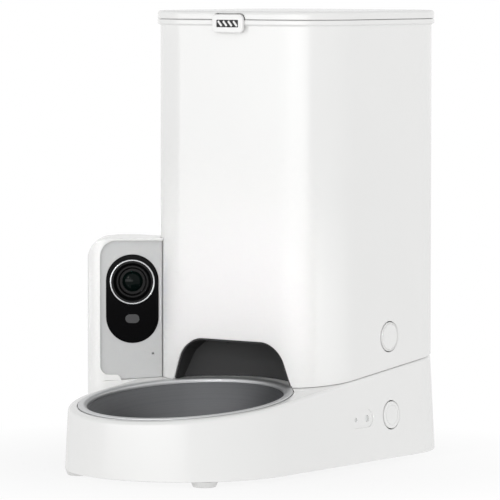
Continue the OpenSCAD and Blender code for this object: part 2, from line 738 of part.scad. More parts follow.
module latch_pin() color(steel) place() translate([bx - 17, latch_y + 1.5, latch_pz]) rotate([0, 90, 0])
  cylinder(r = 0.9, h = 34);

module latch() color(white) place() translate([bx, 0, 0]) difference() {
  union() {
    translate([0, latch_y - gap, latch_pz + 1.6 - latch_h / 2]) rotate([90, 0, 0])
      latch_plate(latch_w / 2, latch_h / 2, 2.4, 2.2);
    translate([4 - latch_w / 2, latch_y - gap - e, latch_pz - 1.4]) cube([latch_w - 8, 3.4, 2.8]);
  }
  translate([-9.25, latch_y - gap - 3, latch_pz - 7.2]) cube([18.5, 2, 5.1]);
  translate([-20, latch_y + 1.5, latch_pz]) rotate([0, 90, 0]) cylinder(r = 0.95, h = 40);
}

// Rounded plate of half width a and half height b, corner radius r, thickness t
module latch_plate(a, b, r, t) {
  for (i = [-1, 1], j = [-1, 1]) translate([i * (a - r), j * (b - r), 0])
    rotate([0, 0, i > 0 ? (j > 0 ? 0 : 270) : (j > 0 ? 90 : 180)]) rotate_extrude(angle = 90)
      square([r, t]);
  translate([-a, r - b, 0]) cube([2 * a, 2 * (b - r), t]);
  for (j = [0, 1]) mirror([0, j, 0]) translate([r - a, b - r, 0]) cube([2 * (a - r), r, t]);
}

module latch_grip() color(dark) place() translate([bx - 9.25, latch_y - gap - 1, latch_pz - 7.2]) {
  translate([0, -0.4, 0]) cube([18.5, 0.4, 5.1]);
  for (k = [0:4]) translate([1.6 + 3.4 * k, -1, 0.8]) rotate([0, 25, 0]) cube([1.1, 0.7, 3.4]);
}

module release_button() color(white) place() translate([hop_half - wall, btn_y, btn_z]) rotate([0, 90, 0]) {
  difference() {
    button_disc(release_d / 2, wall + 0.6, 0.6);
    translate([0, 0, wall + 0.3]) difference() {
      cylinder(r = release_d / 2 - 1.6, h = 2);
      translate([0, 0, -1]) cylinder(r = release_d / 2 - 2.2, h = 4);
    }
  }
  translate([0, 0, -11]) cylinder(r = 3, h = 11 + e);
}

module feed_button() color(white) place() on_right(0, feed_z) {
  difference() {
    translate([0, 0, -3.4]) button_disc(feed_d / 2, 4, 0.6);
    translate([0, 0, 0.3]) difference() {
      cylinder(r = feed_d / 2 - 2.6, h = 2);
      translate([0, 0, -1]) cylinder(r = feed_d / 2 - 3.2, h = 4);
    }
  }
  translate([0, 0, -8.4]) cylinder(r = 3, h = 5 + e);
}

module bowl() color(steel) place() tilted() rotate_extrude() {
  ri = bowl_r - bowl_rim;
  rf = ri - bowl_depth * tan(bowl_lean);
  t = 1.3;
  polygon([[0, -bowl_depth], [rf, -bowl_depth], [ri, -0.5], [bowl_r, -0.5], [bowl_r, 0.8], [ri - t, 0.8],
    [rf - t * 0.5, t - bowl_depth], [0, t - bowl_depth]]);
}

base_shell();
base_plate();
rubber_feet();
base_screws();
pod_shell();
camera_panel();
camera_window();
lens_ring();
lens_barrel();
lens_glass();
ir_window();
camera_board();
speaker();
main_board();
key_board();
power_inlet();
led_window();
led_lights();
motor();
gearbox_case();
gearbox_cover();
idler_pin();
pinion_gear();
idler_gear();
drive_gear();
hopper_shell();
hopper_floor();
hopper_bottom();
outlet_liner();
outlet_baffle();
hinge_pin();
rotor_hub();
rotor_paddles();
lid_shell();
lid_liner();
lid_seal();
desiccant_case();
desiccant_cap();
latch_pin();
latch();
latch_grip();
release_button();
feed_button();
bowl();
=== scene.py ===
"""Automatic pet feeder with a camera pod: the looks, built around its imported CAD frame."""

import math
from math import cos, radians, sin, tan
from types import SimpleNamespace

import bmesh
import bpy
from mathutils import Matrix, Vector


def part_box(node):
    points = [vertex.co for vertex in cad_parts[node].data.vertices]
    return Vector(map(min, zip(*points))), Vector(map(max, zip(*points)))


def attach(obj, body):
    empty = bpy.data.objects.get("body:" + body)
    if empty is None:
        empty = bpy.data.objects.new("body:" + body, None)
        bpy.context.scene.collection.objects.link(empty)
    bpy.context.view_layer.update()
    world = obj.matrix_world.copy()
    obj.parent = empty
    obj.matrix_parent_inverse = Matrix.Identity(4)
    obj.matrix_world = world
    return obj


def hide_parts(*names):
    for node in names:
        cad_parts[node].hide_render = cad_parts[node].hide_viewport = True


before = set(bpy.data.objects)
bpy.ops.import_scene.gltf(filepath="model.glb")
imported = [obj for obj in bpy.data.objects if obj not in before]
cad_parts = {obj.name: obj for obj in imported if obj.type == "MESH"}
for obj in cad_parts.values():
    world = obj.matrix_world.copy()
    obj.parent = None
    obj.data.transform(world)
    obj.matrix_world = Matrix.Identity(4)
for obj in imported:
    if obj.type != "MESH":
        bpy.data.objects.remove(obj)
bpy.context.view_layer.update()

# Sizes in millimetres, measured from the hopper's axis and the floor
MM = 0.001
WALL = 2.6
GAP = 0.4
FOOT_H = 4

# Hopper
HOP_HALF = 77.5
HOP_R = 36.4
HOP_BLANK_Z = 40
LIP_H = 3.1
RIM_OUT = 1.9
RIM_H = 3.3
RIM_FILLET = 1.2
RIM_EDGE = 0.6
ARCH_Z = 85
ARCH_R = 19
ARCH_FLAT = 25.2
ARCH_LEAN = radians(19.4)
ARCH_LOW = 30
JAMB = 6
JAMB_WALL = 2.2
JAMB_EDGE = 0.5
JAMB_PLAY = 0.05
SLEEVE = 1.2

# Lid, its hinge and the latch
LID_EDGE = 2.4
LID_LOW_EDGE = 0.5
LID_SEAM = 0.3
LID_FLANGE = 2.9
LID_HOLLOW = 3.5
NOTCH_H = 4.6
NOTCH_DEEP = 3.4
NOTCH_R = 3.8
HINGE_OUT = 1.1
HINGE_UP = 0.6
HOPPER_PIN_R = 1.25
LID_PIN_R = 1.3
KNUCKLE_R = 2.5
KNUCKLE_X = 24.3
KNUCKLE_HALF = 3.7
KNUCKLE_ROOM = 3.1
KNUCKLE_GAP = 0.3
LID_KNUCKLE = 20.3
LATCH_W = 26
LATCH_H = 12.4
LATCH_T = 1.7
LATCH_R = 3.4
LATCH_EDGE = 0.6
LATCH_UP = 2.2
LATCH_OVER = 1.6
LATCH_PIN_R = 0.95
TONGUE_INSET = 4
TONGUE_REACH = 3.1
TONGUE_HALF = 1.4
GRIP_HALF = 9.25
GRIP_LOW = 7.2
GRIP_HIGH = 2.1
GRIP_PLAY = 0.05
PAD_T = 0.4
PAD_RIM = 0.3
PAD_DISH = 0.15
RIB_COUNT = 4
RIB_PITCH = 4.3
RIB_HALF = 0.75
RIB_REACH = 2.3
RIB_LEAN = radians(-42)

# Base and bowl
TILT = radians(6)
DECK_Z = 64.25
DECK_T = 3
BASE_R = 80.9
BASE_BLANK_H = 74
DRAFT = radians(3)
BASE_REAR = 83
REAR_R = 47
LIP_R = 2.6
BASE_EDGE = 0.8
BOWL_X = 1.6
BOWL_Y = -128
BOWL_R = 72.3
BOWL_RIM = 3.8
BOWL_DEPTH = 27
BOWL_LEAN = radians(38)
BOWL_SHEET = 1.3
BOWL_FILLET = 7
RIM_ROOM = 0.6
RIM_SEAT = 1.3
RIM_SEAT_EDGE = 0.5
WELL_PLAY = 2
WELL_R = BOWL_R - BOWL_RIM + 1.5
CUP_WALL = 2.2
CUP_FLOOR = 2.5
POSTS = ((-60, -62), (60, -62), (-52, 55), (52, 55))
POST_R = 4
POST_Z = 6.4
FEET = ((-53, BOWL_Y - 48), (53, BOWL_Y - 48), (-55, 50), (55, 50))
SHAFT_R = 6
INLET_X = (-45, -33)
INLET_Z = (FOOT_H + 2.4, FOOT_H + 10)

# Camera pod
POD_TURN = radians(36.87)
POD_X = -112.5
POD_Y = -86.9
POD_R = 12.5
POD_DEEP = 25.8
POD_FRONT_L = 60
POD_REAR_L = 49.5
POD_BLANK_Z = 90
POD_TOP = 153
POD_CORNER = 15
POD_EDGE = 0.9
POD_ROOM = 0.8
PANEL_SET = 2.5
PANEL_EDGE = 3.5
PANEL_RIM = 1.8
PANEL_T = 2.2
OPENING_R = 11
OPENING_EDGE = 0.7
LEDGE_Z = 58.6
LEDGE_W = 14.5
LEDGE_R = 6
LEDGE_FILLET = 4
SOUND_Y = POD_Y + 13
SOUND_Z = 78
SOUND_PITCH = 4
SOUND_L = 16
SOUND_HALF = 0.9
WINDOW_X = 22.2
WINDOW_Z = 111
WINDOW_W = 36.5
WINDOW_H = 61.5
WINDOW_PROUD = 0.4
WINDOW_EDGE = 0.35
LENS_Z = 122.65
LENS_D = 31.2
LENS_RING = 1.1
LENS_BACK = -14
GLASS_R = 7.1
GLASS_BACK = -9
DOME_R = 10.2
DOME_Z = -13
IR_Z = 97.2
IR_HALF = 3
IR_L = 9.7
IR_PROUD = 0.3
IR_PLAY = 0.05

# Buttons and lights
RELEASE_D = 20.7
RELEASE_Y = 2.3
RELEASE_Z = 87
FEED_D = 19.4
FEED_Z = 33.6
BORE_GAP = 0.35
BORE_EDGE = 0.2
BORE_REACH = 0.6
BOSS_WALL = 2.5
STEM_R = 3
STEM_EDGE = 0.4
LIGHTS_Y = -35
LIGHTS_HALF = 6
LIGHTS_L = 27
LIGHTS_DEEP = 1.2
SMALL_LIGHT = (-40.8, 1.5)
LARGE_LIGHT = (-27.8, 2.4)
PIPE_BACK = -6
PIPE_FACE = -1.9
PIPE_PLAY = 0.05

# Steps of rounded corners and of round bars
CORNER_STEPS = 24
FINE_STEPS = 128
KNUCKLE_STEPS = 48
PIN_STEPS = 32

# How near a picked edge has to lie, in millimetres, and how sharp it has to be, in radians
NEAR = 0.1
SHARP = 0.8

# Small distances in millimetres: between doubled points, between rounded edges, and where those are merged
DOUBLE = 0.004
HAIR = 0.01
ROUND_MEET = 0.03

# The hopper's axis in the row frame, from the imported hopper
hopper_low, hopper_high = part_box("hopper_shell")
AXIS = Vector(((hopper_low.x + hopper_high.x) / 2, hopper_low.y + (HOP_HALF + RIM_OUT) * MM, 0))
FEEDER_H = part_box("lid_shell")[1].z / MM
SEAM_Z = hopper_high.z / MM - LIP_H
RIM_Z = SEAM_Z - RIM_H
HINGE_Y = HOP_HALF + RIM_OUT + HINGE_OUT
HINGE_Z = SEAM_Z + HINGE_UP
LATCH_Y = -HOP_HALF - RIM_OUT
LATCH_Z = SEAM_Z + LATCH_UP
LATCH_BACK = LATCH_Y - GAP
GRIP_BACK = LATCH_BACK - 1

# Seats: local frames in millimetres whose Z points out of the surface they lie on
UPRIGHT = Matrix.Identity(4)
DECK_UP = Vector((0, -sin(TILT), cos(TILT)))
BOWL_SEAT = Matrix.Translation((BOWL_X, BOWL_Y, DECK_Z + BOWL_Y * tan(TILT))) @ Matrix.Rotation(TILT, 4, "X")
POD_ALONG = Vector((cos(POD_TURN), sin(POD_TURN), 0))
POD_OUT = Vector((sin(POD_TURN), -cos(POD_TURN), 0))
POD_C1 = Vector((POD_X + POD_R, POD_Y, 0))
POD_C3 = POD_C1 + Vector((0, POD_DEEP, 0))
PANEL_CORNER = POD_C1 + (POD_R - PANEL_SET) * POD_OUT - PANEL_EDGE * POD_ALONG


def panel_seat(along, height):
    """On the camera panel: X along it, Y up, Z out toward the bowl."""
    turn = Matrix((POD_ALONG, (0, 0, 1), POD_OUT)).transposed().to_4x4()
    return Matrix.Translation(PANEL_CORNER + along * POD_ALONG + Vector((0, 0, height))) @ turn


def base_side_seat(y, z):
    """On the drafted right wall of the base."""
    wall_x = BOWL_X + BASE_R - (z - FOOT_H) * tan(DRAFT)
    return Matrix.Translation((wall_x, y, z)) @ Matrix.Rotation(radians(90) - DRAFT, 4, "Y")


def along_x(x, y, z):
    """A seat whose Z runs along +X."""
    return Matrix.Translation((x, y, z)) @ Matrix.Rotation(radians(90), 4, "Y")


PANEL_FACE = panel_seat(0, 0)
RELEASE_SEAT = along_x(HOP_HALF, RELEASE_Y, RELEASE_Z)
FEED_SEAT = base_side_seat(0, FEED_Z)


# Modelling by hand


def mm(size):
    return size * MM


def about(middle, half):
    """The two limits that lie half either side of a middle."""
    return middle - half, middle + half


def spot(x, y, z):
    """A point given in millimetres from the hopper's axis, in the row frame."""
    return AXIS + Vector((x, y, z)) * MM


def alone(piece):
    """Makes one piece the only selected and active one."""
    bpy.ops.object.select_all(action="DESELECT")
    piece.select_set(True)
    bpy.context.view_layer.objects.active = piece


def edit(piece):
    alone(piece)
    bpy.ops.object.mode_set(mode="EDIT")


def leave():
    bpy.ops.object.mode_set(mode="OBJECT")


def settle(name):
    """Names the new primitive and puts its place into its mesh."""
    bpy.ops.object.transform_apply(location=True, rotation=True, scale=True)
    piece = bpy.context.object
    piece.name = name
    return piece


def box(name, x, y, z, seat=UPRIGHT):
    """A block between two limits along each axis of a seat."""
    bpy.ops.object.select_all(action="DESELECT")
    middle = seat @ Vector((sum(x) / 2, sum(y) / 2, sum(z) / 2))
    size = (mm(x[1] - x[0]), mm(y[1] - y[0]), mm(z[1] - z[0]))
    bpy.ops.mesh.primitive_cube_add(size=1, location=spot(*middle), rotation=seat.to_euler(), scale=size)
    return settle(name)


def rod(name, radius, low, high, seat, steps=64):
    """A round bar along the Z of a seat."""
    bpy.ops.object.select_all(action="DESELECT")
    middle = seat @ Vector((0, 0, (low + high) / 2))
    bpy.ops.mesh.primitive_cylinder_add(vertices=steps, radius=mm(radius), depth=mm(high - low),
                                        location=spot(*middle), rotation=seat.to_euler())
    return settle(name)


def point(name, place):
    """Starts a piece from one point, and stays in edit mode with the point selected."""
    bpy.ops.object.select_all(action="DESELECT")
    bpy.ops.mesh.primitive_plane_add(size=mm(1), location=spot(*place))
    piece = settle(name)
    edit(piece)
    bpy.ops.mesh.select_mode(type="VERT")
    bpy.ops.mesh.select_all(action="SELECT")
    bpy.ops.mesh.merge(type="CENTER")
    return piece


def extrude(step):
    """Draws the selection out by a step in millimetres."""
    bpy.ops.mesh.extrude_region_move(TRANSFORM_OT_translate={"value": Vector(step) * MM})


def pick(kind, test, seat=UPRIGHT):
    """Selects vertices, edges or faces by their place, size, facing or turn, in millimetres in a seat."""
    bpy.ops.mesh.select_mode(type=kind)
    bpy.ops.mesh.select_all(action="DESELECT")
    mesh = bmesh.from_edit_mesh(bpy.context.object.data)
    mesh.normal_update()
    home = seat.inverted()
    turn = home.to_3x3()
    for item in {"VERT": mesh.verts, "EDGE": mesh.edges, "FACE": mesh.faces}[kind]:
        corners = [item] if kind == "VERT" else item.verts
        points = [home @ ((v.co - AXIS) / MM) for v in corners]
        low = Vector([min(p[k] for p in points) for k in range(3)])
        high = Vector([max(p[k] for p in points) for k in range(3)])
        seen = SimpleNamespace(at=(low + high) / 2, size=high - low, normal=None, turn=0, sides=[])
        if kind == "FACE":
            seen.normal = turn @ item.normal
        if kind == "EDGE":
            seen.sides = [turn @ f.normal for f in item.link_faces]
            seen.turn = item.calc_face_angle_signed(0) if len(item.link_faces) == 2 else 0
        item.select_set(bool(test(seen)))
    mesh.select_flush_mode()
    bmesh.update_edit_mesh(bpy.context.object.data)


def soften(piece, radius, steps, test, seat=UPRIGHT):
    """Rounds the edges that a test picks."""
    edit(piece)
    pick("EDGE", test, seat)
    bpy.ops.mesh.bevel(offset=mm(radius), offset_type="OFFSET", segments=steps, profile=0.5,
                       affect="EDGES", clamp_overlap=False)
    leave()


def soften_ring(piece, radius, steps, low, high, seat):
    """Rounds the outer edges that lie flat on a seat, between two distances from its Z."""
    soften(piece, radius, steps, lambda e: abs(e.at.z) < NEAR and low < e.at.xy.length < high
           and e.turn > SHARP, seat)


def trim_at_deck(piece, lift, closed=True, above=True):
    """Keeps what lies above (or below) the deck plane raised by lift."""
    edit(piece)
    bpy.ops.mesh.select_all(action="SELECT")
    bpy.ops.mesh.bisect(plane_co=spot(0, 0, DECK_Z) + DECK_UP * mm(lift), plane_no=DECK_UP,
                        use_fill=closed, clear_inner=above, clear_outer=not above)
    leave()


def apply(piece, change):
    alone(piece)
    bpy.ops.object.modifier_apply(modifier=change.name)


def combine(piece, tool, how):
    """Joins, cuts or trims a piece with a second block, which is used up."""
    change = piece.modifiers.new("shape", "BOOLEAN")
    change.object = tool
    change.operation = how
    change.solver = "EXACT"
    apply(piece, change)
    bpy.data.objects.remove(tool)


def weld(piece, tool):
    combine(piece, tool, "UNION")


def carve(piece, tool):
    combine(piece, tool, "DIFFERENCE")


def joined(name, pieces):
    """Makes one loose-standing piece of several."""
    alone(pieces[0])
    for piece in pieces:
        piece.select_set(True)
    bpy.ops.object.join()
    pieces[0].name = name
    return pieces[0]


def thicken(piece, thickness):
    change = piece.modifiers.new("wall", "SOLIDIFY")
    change.thickness = mm(thickness)
    change.offset = -1
    change.use_even_offset = True
    apply(piece, change)


def merge_close(piece, gap):
    edit(piece)
    bpy.ops.mesh.select_all(action="SELECT")
    bpy.ops.mesh.remove_doubles(threshold=mm(gap))
    leave()


def clean(piece):
    """Merges doubled points and turns the faces outward."""
    merge_close(piece, DOUBLE)
    edit(piece)
    bpy.ops.mesh.select_all(action="SELECT")
    bpy.ops.mesh.normals_make_consistent(inside=False)
    leave()


def column(name, half, corner, low, high):
    """A square block with rounded upright edges, on the hopper's axis."""
    piece = box(name, about(0, half), about(0, half), (low, high))
    soften(piece, corner, CORNER_STEPS, lambda e: e.size.z > 1)
    return piece


def slot_block(name, half, length, low, high, seat):
    """A block with two round ends, its length along the Y of a seat."""
    piece = box(name, about(0, half), about(0, length / 2), (low, high), seat)
    upright = 0.9 * (high - low)
    soften(piece, half - HAIR, 12, lambda e: e.size.z > upright and e.size.x < NEAR and e.size.y < NEAR, seat)
    merge_close(piece, ROUND_MEET)
    return piece


def turned(name, outline, seat, steps=96):
    """A piece spun from an outline of (radius, height) points about the Z of a seat."""
    along = seat.to_3x3()
    piece = point(name, seat @ Vector((outline[0][0], 0, outline[0][1])))
    for here, there in zip(outline, outline[1:]):
        extrude(along @ Vector((there[0] - here[0], 0, there[1] - here[1])))
    bpy.ops.mesh.select_all(action="SELECT")
    bpy.ops.mesh.spin(steps=steps, angle=2 * math.pi, center=spot(*seat.to_translation()), axis=along.col[2])
    leave()
    clean(piece)
    return piece


def arc(across, up, radius, start, end, steps=6):
    """Points of a round stretch of an outline, angles in degrees."""
    turns = [radians(start + (end - start) * k / steps) for k in range(steps + 1)]
    return [(across + radius * cos(a), up + radius * sin(a)) for a in turns]


def dress(piece, finish, body, slot, *nodes):
    """Smooths a finished piece, gives it its finish and lets it ride on its CAD body."""
    alone(piece)
    bpy.ops.object.shade_smooth_by_angle(angle=radians(32))
    weights = piece.modifiers.new("even_shading", "WEIGHTED_NORMAL")
    weights.keep_sharp = True
    apply(piece, weights)
    piece.data.materials.clear()
    piece.data.materials.append(finish)
    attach(piece, body)
    if nodes:
        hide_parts(*nodes)


# Finishes, with their sizes in millimetres

DRIFT = 70
SCRATCH_L = 40
RELIEF = 0.05
COPPER_PITCH = 5


def linear(hex_colour):
    """An sRGB hex colour as linear RGBA."""
    parts = [int(hex_colour[k:k + 2], 16) / 255 for k in (1, 3, 5)]
    return [c / 12.92 if c <= 0.04045 else ((c + 0.055) / 1.055) ** 2.4 for c in parts] + [1]


def add(tree, kind, inputs, **settings):
    """Adds a node with its settings; an input is a value or another node's output."""
    node = tree.nodes.new("ShaderNode" + kind)
    for name, value in settings.items():
        setattr(node, name, value)
    for name, value in inputs.items():
        if isinstance(value, bpy.types.NodeSocket):
            tree.links.new(value, node.inputs[name])
        else:
            node.inputs[name].default_value = value
    return node


def blend(tree, share, first, second, kind="RGBA"):
    """A mix of two colours or two values."""
    return add(tree, "Mix", {"Factor": share, "A": first, "B": second}, data_type=kind).outputs["Result"]


def ramp(tree, value, start, end, low=0, high=1):
    """Runs from start to end while a value runs from low to high."""
    limits = {"Value": value, "From Min": low, "From Max": high, "To Min": start, "To Max": end}
    return add(tree, "MapRange", limits).outputs["Result"]


def noise(tree, place, scale, detail):
    return add(tree, "TexNoise", {"Vector": place, "Scale": scale, "Detail": detail}).outputs["Fac"]


def calc(tree, how, first, second):
    return add(tree, "Math", {0: first, 1: second}, operation=how).outputs["Value"]


def blank(name):
    """A new material with its nodes, its shader and its Object coordinates."""
    finish = bpy.data.materials.new(name)
    finish.use_nodes = True
    tree = finish.node_tree
    place = add(tree, "TexCoord", {}).outputs["Object"]
    return finish, tree, tree.nodes["Principled BSDF"], place


def cover(tree, surface, colour, rough, height, relief):
    """Gives a shader its colour, its roughness and a fine relief."""
    bump = add(tree, "Bump", {"Height": height, "Strength": relief, "Distance": mm(RELIEF)})
    tree.links.new(colour, surface.inputs["Base Color"])
    tree.links.new(rough, surface.inputs["Roughness"])
    tree.links.new(bump.outputs["Normal"], surface.inputs["Normal"])


def moulded(name, colour, shade, rough, grain, relief, specular=0.5):
    """Injection-moulded plastic: an even colour that drifts a little, and the fine grain of the mould."""
    finish, tree, surface, place = blank(name)
    drift = noise(tree, place, 1 / mm(DRIFT), 2)
    grit = noise(tree, place, 1 / mm(grain), 3)
    tint = blend(tree, drift, linear(colour), linear(shade))
    sheen = ramp(tree, grit, rough - 0.05, rough + 0.05)
    cover(tree, surface, tint, sheen, grit, relief)
    surface.inputs["Specular IOR Level"].default_value = specular
    return finish


def straight_lines(tree, place, line):
    """Coordinates for scratches that run one way."""
    stretch = (1 / mm(line), 1 / mm(SCRATCH_L), 1 / mm(SCRATCH_L))
    return add(tree, "Mapping", {"Vector": place, "Scale": stretch}).outputs["Vector"]


def ring_place(tree, place, seat):
    """The distance from the Z of a seat, and the height along it."""
    home = Matrix.Translation(spot(*seat.to_translation())) @ seat.to_3x3().to_4x4()
    centre = add(tree, "Mapping", {"Vector": place, "Location": home.to_translation(),
                                   "Rotation": home.to_euler()}, vector_type="TEXTURE")
    split = add(tree, "SeparateXYZ", {"Vector": centre.outputs["Vector"]})
    flat = add(tree, "CombineXYZ", {"X": split.outputs["X"], "Y": split.outputs["Y"]})
    radius = add(tree, "VectorMath", {0: flat.outputs["Vector"]}, operation="LENGTH")
    return radius.outputs["Value"], split.outputs["Z"]


def brushed(name, colour, shade, rough, line, seat=None, rim=0, rim_highlight=None):
    """Ground metal: fine scratches along one way, or in rings about a seat, with a painted highlight that
    lightens the colour past a given radius.
    """
    finish, tree, surface, place = blank(name)
    if seat is None:
        lines = straight_lines(tree, place, line)
    else:
        radius, height = ring_place(tree, place, seat)
        rings = add(tree, "CombineXYZ", {"X": radius, "Y": height}).outputs["Vector"]
        scaled = add(tree, "VectorMath", {0: rings, "Scale": 1 / mm(line)}, operation="SCALE")
        lines = scaled.outputs["Vector"]
    scratch = noise(tree, lines, 1, 4)
    tint = blend(tree, scratch, linear(colour), linear(shade))
    # Painted highlight: past the radius rim the colour runs to a light grey, standing in for the band of
    # reflected light on the bowl's rolled rim
    if rim:
        edge = ramp(tree, radius, 0, 1, mm(rim - 0.8), mm(rim))
        tint = blend(tree, edge, tint, linear(rim_highlight))
    sheen = ramp(tree, scratch, rough - 0.07, rough + 0.07)
    cover(tree, surface, tint, sheen, scratch, 0.08)
    surface.inputs["Metallic"].default_value = 1
    return finish


def circuit_board(name, mask, copper):
    """Solder-masked glass laminate: green lacquer, lighter where copper runs under it."""
    finish, tree, surface, place = blank(name)
    pattern = {"Vector": place, "Scale": 1 / mm(COPPER_PITCH)}
    runs = add(tree, "TexVoronoi", pattern, feature="DISTANCE_TO_EDGE")
    edge = ramp(tree, runs.outputs["Distance"], 0, 1, 0.05, 0.09)
    tint = blend(tree, edge, linear(copper), linear(mask))
    tree.links.new(tint, surface.inputs["Base Color"])
    surface.inputs["Roughness"].default_value = 0.3
    return finish


# Semi-gloss moulded ABS: a clean white that shades softly, with a soft upright highlight at the corners
white_abs = moulded("semi_gloss_white_abs", "#F1F1F0", "#EDEDEC", rough=0.22, grain=0.5, relief=0.03)
# Light grey ABS with a duller satin, on the camera panel and hidden mouldings
grey_abs = moulded("satin_grey_abs", "#C9CACA", "#C4C5C5", rough=0.36, grain=0.5, relief=0.05)
# Dark grey ABS with a dull texture, on the outlet's liner and the latch's grip
dark_abs = moulded("dull_dark_abs", "#3B3B3B", "#363637", rough=0.5, grain=0.6, relief=0.12, specular=0.15)
# Black moulded nylon, on the power inlet
black_nylon = moulded("black_nylon", "#131314", "#0D0D0E", rough=0.45, grain=0.6, relief=0.1, specular=0.15)
# The same, smoother, in the tube of the lens: its flat steps show as faint rings
tube_nylon = moulded("smooth_black_nylon", "#080809", "#060607", rough=0.25, grain=0.6, relief=0.03,
                     specular=0.15)
# Polished acrylic, painted black from behind: deep black with a faint, sharp reflection
black_acrylic = moulded("polished_black_acrylic", "#060607", "#040405", rough=0.08, grain=0.8, relief=0,
                        specular=0.04)
# Infrared-pass polycarbonate: a smoky dark grey, glossy
ir_plastic = moulded("smoky_infrared_polycarbonate", "#2B2B2D", "#262628", rough=0.2, grain=0.8, relief=0.02)
# Coated glass: nearly black with a green tint, and one small sharp highlight
coated_glass = moulded("coated_lens_glass", "#061210", "#040C0B", rough=0.05, grain=0.9, relief=0,
                       specular=0.1)
# Acetal of the two plastic gears: waxy off-white with a dull gloss
acetal = moulded("machined_acetal", "#E6E4DC", "#DEDCD2", rough=0.38, grain=0.7, relief=0.06)
# Silicone of the paddles and the lid's seal: soft, matt, pale grey
silicone_rubber = moulded("matt_silicone", "#B9BABB", "#ADAEB0", rough=0.6, grain=0.9, relief=0.2)
# Moulded rubber of the feet: matt and off-white
foot_rubber = moulded("moulded_pale_rubber", "#DEDEDD", "#D6D6D5", rough=0.75, grain=0.8, relief=0.3)
# Milky polycarbonate of the two light pipes
milky_plastic = moulded("milky_polycarbonate", "#E9EBEA", "#E3E6E5", rough=0.3, grain=0.8, relief=0.02)
# Stainless sheet, spun and ground in rings: grey with a soft sheen that runs round the bowl, and a painted
# highlight that colours its rolled rim a light grey
bowl_steel = brushed("ring_brushed_stainless", "#6C6D6F", "#636466", rough=0.5, line=0.7, seat=BOWL_SEAT,
                     rim=BOWL_R - 5.6, rim_highlight="#C9CACB")
# Bright turned ring of the lens
bright_steel = brushed("bright_turned_aluminium", "#B9BABB", "#AEAFB1", rough=0.26, line=0.5)
# Zinc-plated steel of the pins, screws and motor can
plated_steel = brushed("zinc_plated_steel", "#A9ABAE", "#9A9CA0", rough=0.32, line=0.8)
# Cut brass of the pinion
cut_brass = brushed("cut_brass", "#C6A664", "#B59453", rough=0.3, line=0.6)
board_green = circuit_board("green_solder_mask", "#1B5A38", "#2B7A4C")


# The hopper and what it carries


def arch_block(name, grow, near, far):
    """The outline of the outlet, grown all round, as a block between two depths."""
    top = ARCH_Z + grow
    radius = ARCH_R + grow
    half = ARCH_FLAT + radius / cos(ARCH_LEAN) + (ARCH_Z - ARCH_R - ARCH_LOW) * tan(ARCH_LEAN)
    piece = box(name, about(BOWL_X, half), (near, far), (ARCH_LOW, top))
    edit(piece)
    pick("FACE", lambda e: e.normal.z > 0.9)
    share = 1 - (top - ARCH_LOW) * tan(ARCH_LEAN) / half
    bpy.ops.transform.resize(value=(share, 1, 1), center_override=spot(BOWL_X, 0, top))
    leave()
    tangent = radius / tan(radians(45) + ARCH_LEAN / 2)
    soften(piece, tangent, 16, lambda e: e.size.y > 0.5 and e.at.z > top - NEAR)
    return piece


def hopper_walls():
    """The open column of the hopper, with the bead that stands out under the lid."""
    piece = column("hopper_column", HOP_HALF, HOP_R, HOP_BLANK_Z, SEAM_Z)
    edit(piece)
    pick("FACE", lambda e: abs(e.normal.z) > 0.9)
    bpy.ops.mesh.delete(type="FACE")
    bpy.ops.mesh.select_all(action="SELECT")
    bpy.ops.mesh.bisect(plane_co=spot(0, 0, RIM_Z), plane_no=(0, 0, 1))
    leave()
    trim_at_deck(piece, GAP, closed=False)
    thicken(piece, WALL)
    edit(piece)
    pick("FACE", lambda e: e.at.z > RIM_Z and abs(e.normal.z) < 0.1 and e.normal.dot(e.at) > 0)
    bpy.ops.mesh.extrude_region_shrink_fatten(TRANSFORM_OT_shrink_fatten={"value": mm(RIM_OUT)})
    leave()
    soften(piece, RIM_FILLET, 5, lambda e: abs(e.at.z - RIM_Z) < NEAR and e.turn < -SHARP)
    soften(piece, RIM_EDGE, 3, lambda e: e.at.z > RIM_Z - NEAR and e.turn > SHARP)
    return piece


def outlet(piece):
    """Cuts the outlet into the hopper, with a white jamb round it and room for the bowl's rim."""
    jamb = arch_block("jamb", JAMB_WALL, 1 - HOP_HALF, JAMB - HOP_HALF)
    limit = column("jamb_limit", HOP_HALF - JAMB_PLAY, HOP_R - JAMB_PLAY, HOP_BLANK_Z + 1, 120)
    combine(jamb, limit, "INTERSECT")
    trim_at_deck(jamb, GAP)
    weld(piece, jamb)
    carve(piece, arch_block("outlet_cut", SLEEVE, -HOP_HALF - 9, JAMB - HOP_HALF + 1))
    carve(piece, rod("rim_room", BOWL_R + RIM_ROOM, -5, 1.4, BOWL_SEAT, FINE_STEPS))

    # Soft edges in front, above the bowl's rim
    soften(piece, JAMB_EDGE, 3, lambda e: e.at.y < -70 and 58 < e.at.z < ARCH_Z + SLEEVE + NEAR
           and e.turn > SHARP and any(side.y < -0.7 for side in e.sides))


def hinge_rod(name, radius, middle, half, steps=KNUCKLE_STEPS):
    """A round bar on the axis of the lid's hinge."""
    return rod(name, radius, -half, half, along_x(middle, HINGE_Y, HINGE_Z), steps)


def knuckle(middle, half, y, z):
    """A barrel of the hinge, with the web that carries it between limits along Y and Z."""
    web = box("web", about(middle, half), y, z)
    weld(web, hinge_rod("knuckle", KNUCKLE_R, middle, half))
    return web


